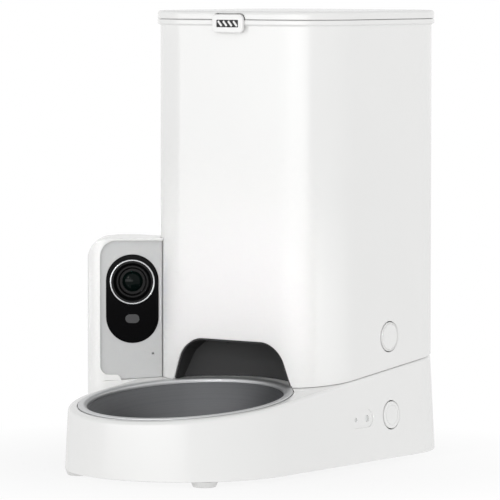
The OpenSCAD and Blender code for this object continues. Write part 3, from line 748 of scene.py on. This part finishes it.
def hopper():
    piece = hopper_walls()
    outlet(piece)

    # The bore of the release button, in a boss behind the wall
    weld(piece, rod("boss", RELEASE_D / 2 + BOSS_WALL, -WALL - 9, -1, RELEASE_SEAT))
    carve(piece, rod("bore", RELEASE_D / 2 + BORE_GAP, -WALL - 7, 9, RELEASE_SEAT))
    soften_ring(piece, BORE_EDGE, 2, 0, RELEASE_D / 2 + BORE_REACH, RELEASE_SEAT)

    # The two hinge knuckles behind the rim
    for middle in (-KNUCKLE_X, KNUCKLE_X):
        weld(piece, knuckle(middle, KNUCKLE_HALF, (HOP_HALF, HINGE_Y + 1.5), (RIM_Z + 0.3, HINGE_Z)))
        carve(piece, hinge_rod("pin_bore", HOPPER_PIN_R, middle, 9, PIN_STEPS))
    carve(piece, hinge_rod("lid_room", KNUCKLE_ROOM, 0, LID_KNUCKLE + KNUCKLE_GAP))
    dress(piece, white_abs, "hopper", "white_plastic", "hopper_shell")


def lid():
    low = SEAM_Z + LID_SEAM
    piece = column("lid", HOP_HALF + RIM_OUT, HOP_R + RIM_OUT, low, FEEDER_H)
    soften(piece, LID_EDGE, 6, lambda e: e.at.z > FEEDER_H - NEAR)
    soften(piece, LID_LOW_EDGE, 2, lambda e: e.at.z < low + NEAR and e.size.z < NEAR)
    edit(piece)
    pick("FACE", lambda e: e.normal.z < -0.95)
    bpy.ops.mesh.inset(thickness=mm(LID_FLANGE), use_even_offset=True)
    extrude((0, 0, LID_HOLLOW))
    leave()

    # The notch that takes the latch, with rounded upper corners
    reach = LATCH_W / 2 + GAP + 0.1
    top = SEAM_Z + NOTCH_H
    notch = box("notch", about(BOWL_X, reach), (LATCH_Y - 5, LATCH_Y + NOTCH_DEEP), (low - 2, top))
    soften(notch, NOTCH_R, 8, lambda e: e.size.y > 1 and e.at.z > top - NEAR)
    carve(piece, notch)

    # The long middle knuckle of the hinge
    weld(piece, knuckle(0, LID_KNUCKLE, (HINGE_Y - 4, HINGE_Y), (HINGE_Z, HINGE_Z + KNUCKLE_R)))
    for middle in (-KNUCKLE_X, KNUCKLE_X):
        carve(piece, hinge_rod("hopper_room", KNUCKLE_ROOM, middle, KNUCKLE_HALF + GAP))
    carve(piece, hinge_rod("pin_bore", LID_PIN_R, 0, 40, PIN_STEPS))
    dress(piece, white_abs, "lid", "white_plastic", "lid_shell")


def latch():
    front = LATCH_BACK - LATCH_T
    top = LATCH_Z + LATCH_OVER
    half = LATCH_W / 2
    piece = box("latch_plate", about(BOWL_X, half), (front, LATCH_BACK), (top - LATCH_H, top))
    soften(piece, LATCH_R, 8, lambda e: e.size.y > 1)
    soften(piece, LATCH_EDGE, 4, lambda e: e.at.y < front + NEAR and e.size.y < NEAR)
    weld(piece, box("tongue", about(BOWL_X, half - TONGUE_INSET), (GRIP_BACK, LATCH_BACK + TONGUE_REACH),
                    about(LATCH_Z, TONGUE_HALF)))
    carve(piece, rod("pin_bore", LATCH_PIN_R, -20, 20, along_x(0, LATCH_Y + 1.5, LATCH_Z), PIN_STEPS))
    recess = box("recess", about(BOWL_X, GRIP_HALF), (LATCH_BACK - 4, GRIP_BACK),
                 (LATCH_Z - GRIP_LOW, LATCH_Z - GRIP_HIGH))
    soften(recess, 0.5, 3, lambda e: e.size.y > 1)
    carve(piece, recess)
    dress(piece, white_abs, "latch", "white_plastic", "latch")


def latch_grip():
    """The grip in the latch's recess: a dark pad with slanted white ribs."""
    low = LATCH_Z - GRIP_LOW + GRIP_PLAY
    high = LATCH_Z - GRIP_HIGH - GRIP_PLAY
    pad = box("latch_pad", about(BOWL_X, GRIP_HALF - GRIP_PLAY), (GRIP_BACK - PAD_T, GRIP_BACK), (low, high))
    edit(pad)
    pick("FACE", lambda e: e.normal.y < -0.9)
    bpy.ops.mesh.inset(thickness=mm(PAD_RIM), depth=-mm(PAD_DISH))
    leave()
    dress(pad, dark_abs, "latch", "dark_plastic", "latch_grip")
    ribs = []
    for k in range(RIB_COUNT):
        across = BOWL_X + RIB_PITCH * (k - (RIB_COUNT - 1) / 2)
        middle = (across, GRIP_BACK - PAD_T / 2, (low + high) / 2)
        seat = Matrix.Translation(middle) @ Matrix.Rotation(RIB_LEAN, 4, "Y")
        rib = box("rib", about(0, RIB_HALF), (-0.45, 0.1), about(0, RIB_REACH), seat)
        soften(rib, 0.2, 2, lambda e: e.at.y < -0.4 and e.size.y < NEAR, seat)
        ribs.append(rib)
    dress(joined("latch_ribs", ribs), white_abs, "latch", "white_plastic")


def stem(top, tip):
    """The outline of a button's stem."""
    edge = tip + STEM_EDGE
    return [(STEM_R, top), (STEM_R, edge)] + arc(STEM_R - STEM_EDGE, edge, STEM_EDGE, 0, -90, 3) + [(0, tip)]


def release_button():
    """A dished cap with a groove near its edge, on a stem."""
    radius = RELEASE_D / 2 - GAP
    outline = [(0, 0.1), (4, 0.14), (7.6, 0.35)]
    outline += arc(8.2, 0.1, 0.5, 90, 20, 4) + arc(8.95, 0.1, 0.35, 200, 340, 4)
    outline += arc(radius - 0.5, 0.1, 0.5, 90, 0, 5) + [(radius, -WALL)] + stem(-WALL, -WALL - 11)
    button = turned("release_cap", outline, RELEASE_SEAT)
    dress(button, white_abs, "release_button", "white_plastic", "release_button")


# The base and what it carries


def block_floor(inset):
    """Where a block of the base starts: an inner one a little lower, so that it cuts through."""
    return FOOT_H - 1 if inset else FOOT_H


def base_block(name, inset, drop):
    """The base's plan, drafted and cut off on the deck plane, drawn in all round by inset."""
    half = BASE_R - inset
    rear = BASE_REAR - inset
    low = block_floor(inset)
    high = FOOT_H + BASE_BLANK_H
    piece = box(name, about(BOWL_X, half), (BOWL_Y - half, rear), (low, high))
    soften(piece, half - HAIR, 2 * CORNER_STEPS, lambda e: e.size.z > 1 and e.at.y < 0)
    soften(piece, REAR_R - inset, CORNER_STEPS, lambda e: e.size.z > 1 and e.at.y > rear - NEAR)
    merge_close(piece, ROUND_MEET)
    edit(piece)
    pick("FACE", lambda e: e.normal.z > 0.9)
    bpy.ops.mesh.delete(type="ONLY_FACE")
    pick("VERT", lambda e: e.at.z > high - NEAR)
    bpy.ops.transform.shrink_fatten(value=-mm((high - low) * tan(DRAFT)))
    leave()
    trim_at_deck(piece, -drop, above=False)
    clean(piece)
    return piece


def pod_block(name, inset, low, high):
    """The pod's plan as a block: two round upright edges joined by flat walls."""
    start = POD_C1 + (POD_R - inset) * POD_OUT + POD_FRONT_L * POD_ALONG
    piece = point(name, (start.x, start.y, low))
    extrude(-POD_FRONT_L * POD_ALONG)
    centre = spot(POD_C1.x, POD_C1.y, low)
    bpy.ops.mesh.spin(steps=20, angle=radians(90) + POD_TURN, center=centre, axis=(0, 0, 1))
    extrude((0, POD_DEEP, 0))
    centre = spot(POD_C3.x, POD_C3.y, low)
    bpy.ops.mesh.spin(steps=14, angle=radians(90), center=centre, axis=(0, 0, 1))
    extrude((POD_REAR_L, 0, 0))
    bpy.ops.mesh.select_all(action="SELECT")
    bpy.ops.mesh.remove_doubles(threshold=mm(HAIR))
    bpy.ops.mesh.edge_face_add()
    extrude((0, 0, high - low))
    leave()
    clean(piece)
    return piece


def pod_foot(name, inset, drop):
    """The part of the pod's plan below the deck."""
    piece = pod_block(name, inset, block_floor(inset), POD_BLANK_Z)
    trim_at_deck(piece, -drop, above=False)
    return piece


def base_hollow():
    """The space inside the base, which leaves the bowl's cup and the screw posts standing."""
    hollow = base_block("hollow", inset=WALL, drop=DECK_T)
    weld(hollow, pod_foot("pod_hollow", inset=WALL, drop=DECK_T))
    cup_floor = -BOWL_DEPTH - WELL_PLAY - CUP_FLOOR
    carve(hollow, rod("cup", WELL_R + CUP_WALL, cup_floor, 4, BOWL_SEAT, FINE_STEPS))
    for x, y in POSTS:
        carve(hollow, rod("post", POST_R, POST_Z, 100, Matrix.Translation((BOWL_X + x, y, 0)), PIN_STEPS))
    return hollow


def base_housing():
    piece = base_block("base_housing", inset=0, drop=0)
    soften(piece, LIP_R, 6, lambda e: len(e.sides) == 2 and any(side.dot(DECK_UP) > 0.99 for side in e.sides))
    soften(piece, BASE_EDGE, 2, lambda e: e.at.z < FOOT_H + NEAR and e.size.z < NEAR)
    weld(piece, pod_foot("pod_foot", inset=0, drop=0))
    carve(piece, base_hollow())

    # The bowl's well and the seat of its rim
    carve(piece, rod("well", WELL_R, -BOWL_DEPTH - WELL_PLAY, 10, BOWL_SEAT, FINE_STEPS))
    carve(piece, rod("rim_seat", BOWL_R + RIM_ROOM, -RIM_SEAT, 10, BOWL_SEAT, FINE_STEPS))
    soften_ring(piece, RIM_SEAT_EDGE, 3, BOWL_R - 1, BOWL_R + 0.8, BOWL_SEAT)

    # Openings: the drive shaft, the feed button, the lights and the power inlet
    carve(piece, rod("shaft_hole", SHAFT_R, 50, 90, UPRIGHT))
    carve(piece, rod("feed_bore", FEED_D / 2 + BORE_GAP, -12, 12, FEED_SEAT))
    lights = base_side_seat(LIGHTS_Y, FEED_Z)
    carve(piece, slot_block("lights_recess", LIGHTS_HALF, LIGHTS_L, -LIGHTS_DEEP, 10, lights))
    for y, radius in (SMALL_LIGHT, LARGE_LIGHT):
        carve(piece, rod("light_hole", radius, -8, 8, base_side_seat(y, FEED_Z), PIN_STEPS))
    carve(piece, box("inlet_cut", INLET_X, (BASE_REAR - 8, BASE_REAR + 12), INLET_Z))
    soften_ring(piece, BORE_EDGE, 2, 0, FEED_D / 2 + BORE_REACH, FEED_SEAT)
    dress(piece, white_abs, "base", "white_plastic", "base_shell")


def pod_solid(name, inset, low, soft=0):
    """The pod above the deck: its plan, with one rounded upper corner, clear of the hopper."""
    top = POD_TOP - inset
    front = PANEL_SET - inset
    left = PANEL_EDGE - POD_R + inset
    piece = pod_block(name, inset, low, top)
    cap = box("cap", (left, 100), (low - 5, top + 0.02), (-100, front + 0.02), PANEL_FACE)
    soften(cap, POD_CORNER - inset, 16, lambda e: e.size.z > 1 and e.at.x < left + 1 and e.at.y > top - 1,
           PANEL_FACE)
    if soft:
        soften(cap, soft, 5, lambda e: e.at.z > front and e.size.z < NEAR and e.at.y > low, PANEL_FACE)
        soften(piece, soft, 5, lambda e: e.at.z > top - NEAR and e.size.z < NEAR)
    combine(piece, cap, "INTERSECT")
    room = POD_ROOM + inset
    carve(piece, column("hopper_room", HOP_HALF + room, HOP_R + room, low - 10, POD_TOP + 10))
    return piece


def panel_opening():
    """The opening in front of the camera panel, with a ledge at its lower left."""
    top = POD_TOP - PANEL_RIM
    opening = box("opening", (0, 70), (LEDGE_Z, top), (-PANEL_T, 20), PANEL_FACE)
    soften(opening, OPENING_R, 12, lambda e: e.size.z > 1 and e.at.x < 1 and e.at.y > top - 1, PANEL_FACE)
    soften(opening, LEDGE_R, 8, lambda e: e.size.z > 1 and e.at.x < 1 and e.at.y < LEDGE_Z + 1, PANEL_FACE)
    weld(opening, box("opening_low", (LEDGE_W, 70), (30, LEDGE_Z + 20), (-PANEL_T, 20), PANEL_FACE))
    return opening


def camera_pod():
    piece = pod_solid("camera_pod", inset=0, low=35, soft=POD_EDGE)
    trim_at_deck(piece, 0)
    carve(piece, pod_solid("pod_hollow", inset=WALL, low=20))
    carve(piece, panel_opening())
    soften(piece, LEDGE_FILLET, 6, lambda e: e.size.z > 1 and abs(e.at.x - LEDGE_W) < NEAR
           and abs(e.at.y - LEDGE_Z) < NEAR, PANEL_FACE)
    soften(piece, OPENING_EDGE, 4, lambda e: abs(e.at.z - PANEL_SET) < NEAR / 2 and e.turn > SHARP
           and e.at.x < 40, PANEL_FACE)

    # Sound slots in the outer side
    for k in range(-2, 3):
        middle = (POD_X, SOUND_Y, SOUND_Z + SOUND_PITCH * k)
        side = Matrix.Translation(middle) @ Matrix.Rotation(radians(-90), 4, "Y")
        carve(piece, slot_block("sound_slot", SOUND_HALF, SOUND_L, -6, 2, side))
    dress(piece, white_abs, "base", "white_plastic", "pod_shell")


def camera_window():
    """The gloss window in front of the lens, and the infrared cover below it."""
    middle = panel_seat(WINDOW_X, WINDOW_Z)
    window = slot_block("camera_glass", WINDOW_W / 2, WINDOW_H, -PANEL_T, WINDOW_PROUD, middle)
    soften(window, WINDOW_EDGE, 3, lambda e: e.at.z > WINDOW_PROUD - NEAR and e.size.z < NEAR, middle)
    carve(window, rod("lens_hole", LENS_D / 2, -9, 9, panel_seat(WINDOW_X, LENS_Z), 96))
    infrared = panel_seat(WINDOW_X, IR_Z) @ Matrix.Rotation(radians(90), 4, "Z")
    carve(window, slot_block("infrared_hole", IR_HALF + IR_PLAY, IR_L + 2 * IR_PLAY, -9, 9, infrared))
    dress(window, black_acrylic, "base", "black_window", "camera_window")
    cover_glass = slot_block("infrared_cover", IR_HALF, IR_L, -PANEL_T, IR_PROUD, infrared)
    dress(cover_glass, ir_plastic, "base", "ir_window", "ir_window")


def camera_lens():
    lens = panel_seat(WINDOW_X, LENS_Z)
    outer = LENS_D / 2
    inner = outer - LENS_RING
    ring = [(inner, -PANEL_T), (outer, -PANEL_T), (outer, 0.5)] + arc(outer - 0.5, 0.5, 0.5, 0, 90, 5)
    ring += arc(inner + 0.3, 0.7, 0.3, 90, 180, 4) + [(inner, -PANEL_T)]
    dress(turned("lens_bezel", ring, lens), bright_steel, "base", "bright_ring", "lens_ring")

    # Stepped baffles lead down to the glass
    steps = [(0, LENS_BACK), (inner, LENS_BACK), (inner, 0.4), (13.2, 0.4), (13, 0.1)]
    steps += [(11, -3.2), (9.9, -3.2), (8.8, -5.9), (GLASS_R, -5.9), (GLASS_R, GLASS_BACK), (0, GLASS_BACK)]
    dress(turned("lens_tube", steps, lens), tube_nylon, "base", "black_plastic", "lens_barrel")

    reach = math.degrees(math.asin(GLASS_R / DOME_R))
    dome = [(0, GLASS_BACK), (GLASS_R, GLASS_BACK)] + arc(0, DOME_Z, DOME_R, 90 - reach, 90, 10)
    dress(turned("lens_dome", dome, lens), coated_glass, "base", "lens_glass", "lens_glass")


def feed_button():
    """A dished cap with a ring groove, on a stem."""
    radius = FEED_D / 2 - GAP
    outline = [(0, 0.15), (4, 0.2), (6.1, 0.42)] + arc(6.8, 0.42, 0.35, 180, 360, 5) + [(7.6, 0.52)]
    outline += arc(radius - 0.6, 0, 0.6, 90, 0, 5) + [(radius, -3.4)] + stem(-3.4, -8.4)
    button = turned("feed_cap", outline, FEED_SEAT)
    dress(button, white_abs, "feed_button", "white_plastic", "feed_button")


def light_pipes():
    """Two light pipes a little below the floor of their recess."""
    pipes = []
    for y, radius in (LARGE_LIGHT, SMALL_LIGHT):
        seat = base_side_seat(y, FEED_Z)
        pipes.append(rod("light_pipe", radius - PIPE_PLAY, PIPE_BACK, PIPE_FACE, seat, PIN_STEPS))
    dress(joined("light_pipes", pipes), milky_plastic, "base", "light_pipe", "led_lights")


def rubber_feet():
    outline = [(0, 0)] + arc(6.8, 1, 1, -90, -15, 4) + [(9.2, FOOT_H), (0, FOOT_H)]
    feet = [turned("foot", outline, Matrix.Translation((BOWL_X + x, y, 0)), 48) for x, y in FEET]
    dress(joined("foot_pads", feet), foot_rubber, "base", "rubber", "rubber_feet")


def bowl():
    rim_in = BOWL_R - BOWL_RIM
    floor_r = rim_in - BOWL_DEPTH * tan(BOWL_LEAN)
    inside = BOWL_SHEET - BOWL_DEPTH
    lean = math.degrees(BOWL_LEAN)
    fillet_r = floor_r - BOWL_SHEET / 2 - BOWL_FILLET * tan(radians(45) - BOWL_LEAN / 2)

    # Up the inside, over the rolled rim and back under the floor
    outline = [(0, inside)] + arc(fillet_r, inside + BOWL_FILLET, BOWL_FILLET, -90, -lean, 8)
    outline += [(rim_in - 3.4, -2.5), (rim_in - 3.2, -2.2), (rim_in - 2.3, -2)]
    outline += arc(rim_in + 0.5, -2, 2.8, 180, 90, 7)
    outline += arc(BOWL_R - 0.65, 0.15, 0.65, 90, -90, 6) + [(rim_in + 0.6, -0.5), (rim_in - 0.4, -1.1)]
    outline += [(floor_r + 3, -BOWL_DEPTH + 3.9)] + arc(floor_r - 2.2, -BOWL_DEPTH + 5, 5, -lean, -90, 5)
    outline += [(0, -BOWL_DEPTH)]
    dress(turned("steel_bowl", outline, BOWL_SEAT, 160), bowl_steel, "bowl", "bowl_steel", "bowl")


CAD_FINISH = {
    white_abs: ("base_plate", "hopper_floor", "hopper_bottom", "outlet_baffle", "desiccant_case",
                "led_window"),
    grey_abs: ("camera_panel", "lid_liner", "desiccant_cap", "gearbox_case", "gearbox_cover", "rotor_hub"),
    dark_abs: ("outlet_liner", "speaker"),
    black_nylon: ("power_inlet",),
    acetal: ("drive_gear", "idler_gear"),
    cut_brass: ("pinion_gear",),
    silicone_rubber: ("rotor_paddles", "lid_seal"),
    plated_steel: ("base_screws", "motor", "idler_pin", "hinge_pin", "latch_pin"),
    board_green: ("camera_board", "main_board", "key_board"),
}


def dress_cad_nodes():
    for finish, names in CAD_FINISH.items():
        for name in names:
            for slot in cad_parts[name].material_slots:
                slot.material = finish


# Studio: a white floor that fades into a white surround, dimmer overhead and to the left, a weak key lamp,
# a softbox that shows only as a highlight, and a narrow fill on the outlet and the bowl

HORIZON = 1.45
ZENITH = 0.42
LEFT = 0.78
RIGHT = 1
FLOOR_R = 6
FLOOR_DROP = 0.0002
FLOOR_GLOW = 0.5
FADE_NEAR = 0.1
FADE_FAR = 0.27
FADE_START = 0.78
EYE = (1664.28, -2270.5, 340.05)
EYE_TURN = (radians(86.004), 0, radians(36.896))
EYE_LENS = 292.21
WHITE = (1, 1, 1, 1)


def studio_world():
    world = bpy.data.worlds.new("white_surround")
    bpy.context.scene.world = world
    world.use_nodes = True
    tree = world.node_tree
    path = add(tree, "LightPath", {})
    seen = calc(tree, "MAXIMUM", path.outputs["Is Camera Ray"], path.outputs["Is Glossy Ray"])
    seen = calc(tree, "MAXIMUM", seen, path.outputs["Is Transmission Ray"])
    ray = add(tree, "SeparateXYZ", {"Vector": add(tree, "TexCoord", {}).outputs["Generated"]})
    sky = ramp(tree, ray.outputs["Z"], HORIZON, ZENITH)
    side = ramp(tree, ray.outputs["X"], LEFT, RIGHT, low=-1)
    level = blend(tree, seen, calc(tree, "MULTIPLY", sky, side), 1, "FLOAT")
    tree.links.new(level, tree.nodes["Background"].inputs["Strength"])
    tree.nodes["Background"].inputs["Color"].default_value = WHITE


def studio_floor():
    bpy.ops.object.select_all(action="DESELECT")
    bpy.ops.mesh.primitive_circle_add(vertices=64, radius=FLOOR_R, fill_type="NGON",
                                      location=(0, 0, -FLOOR_DROP))
    floor = settle("studio_floor")
    finish, tree, surface, place = blank("white_paper_floor")
    surface.inputs["Base Color"].default_value = linear("#F7F7F7")
    surface.inputs["Roughness"].default_value = 0.9
    surface.inputs["Specular IOR Level"].default_value = 0
    away = add(tree, "VectorMath", {0: place}, operation="LENGTH")
    fade = ramp(tree, away.outputs["Value"], FADE_START, 1, FADE_NEAR, FADE_FAR)
    path = add(tree, "LightPath", {})
    share = blend(tree, path.outputs["Is Camera Ray"], FLOOR_GLOW, fade, "FLOAT")
    glow = add(tree, "Emission", {"Color": WHITE, "Strength": 1})
    mix = add(tree, "MixShader", {0: share, 1: surface.outputs["BSDF"], 2: glow.outputs["Emission"]})
    tree.links.new(mix.outputs["Shader"], tree.nodes["Material Output"].inputs["Surface"])
    floor.data.materials.append(finish)


def soft_lamp(name, place, aim, size, power, gloss_only=False, beam=180):
    bpy.ops.object.light_add(type="AREA", location=place)
    lamp = bpy.context.object
    lamp.name = name
    lamp.data.shape = "RECTANGLE"
    lamp.data.size = size[0]
    lamp.data.size_y = size[1]
    lamp.data.energy = power
    lamp.data.spread = radians(beam)
    lamp.visible_camera = False
    lamp.visible_diffuse = not gloss_only
    lamp.rotation_euler = (Vector(aim) - Vector(place)).to_track_quat("-Z", "Y").to_euler()


def studio_lamps():
    soft_lamp("key_lamp", place=(0.25, -2.6, 0.75), aim=(0, 0, 0.2), size=(1.5, 1.3), power=7)
    soft_lamp("softbox", place=(-0.05, -1.3, 0.21), aim=(0, 0, 0.21), size=(2.1, 0.42), power=8,
              gloss_only=True)
    soft_lamp("fill_lamp", place=(0, -1.1, 0.7), aim=(0.015, -0.015, 0.115), size=(0.25, 0.06), power=0.014,
              beam=8)


def camera():
    bpy.ops.object.camera_add(location=spot(*EYE), rotation=EYE_TURN)
    eye = bpy.context.object
    eye.data.sensor_width = 36
    eye.data.lens = EYE_LENS
    eye.data.clip_end = 100
    bpy.context.scene.camera = eye


camera()
hopper()
lid()
latch()
latch_grip()
release_button()
base_housing()
camera_pod()
camera_window()
camera_lens()
feed_button()
light_pipes()
rubber_feet()
bowl()
dress_cad_nodes()
studio_world()
studio_floor()
studio_lamps()
bpy.context.scene.view_settings.view_transform = "Standard"
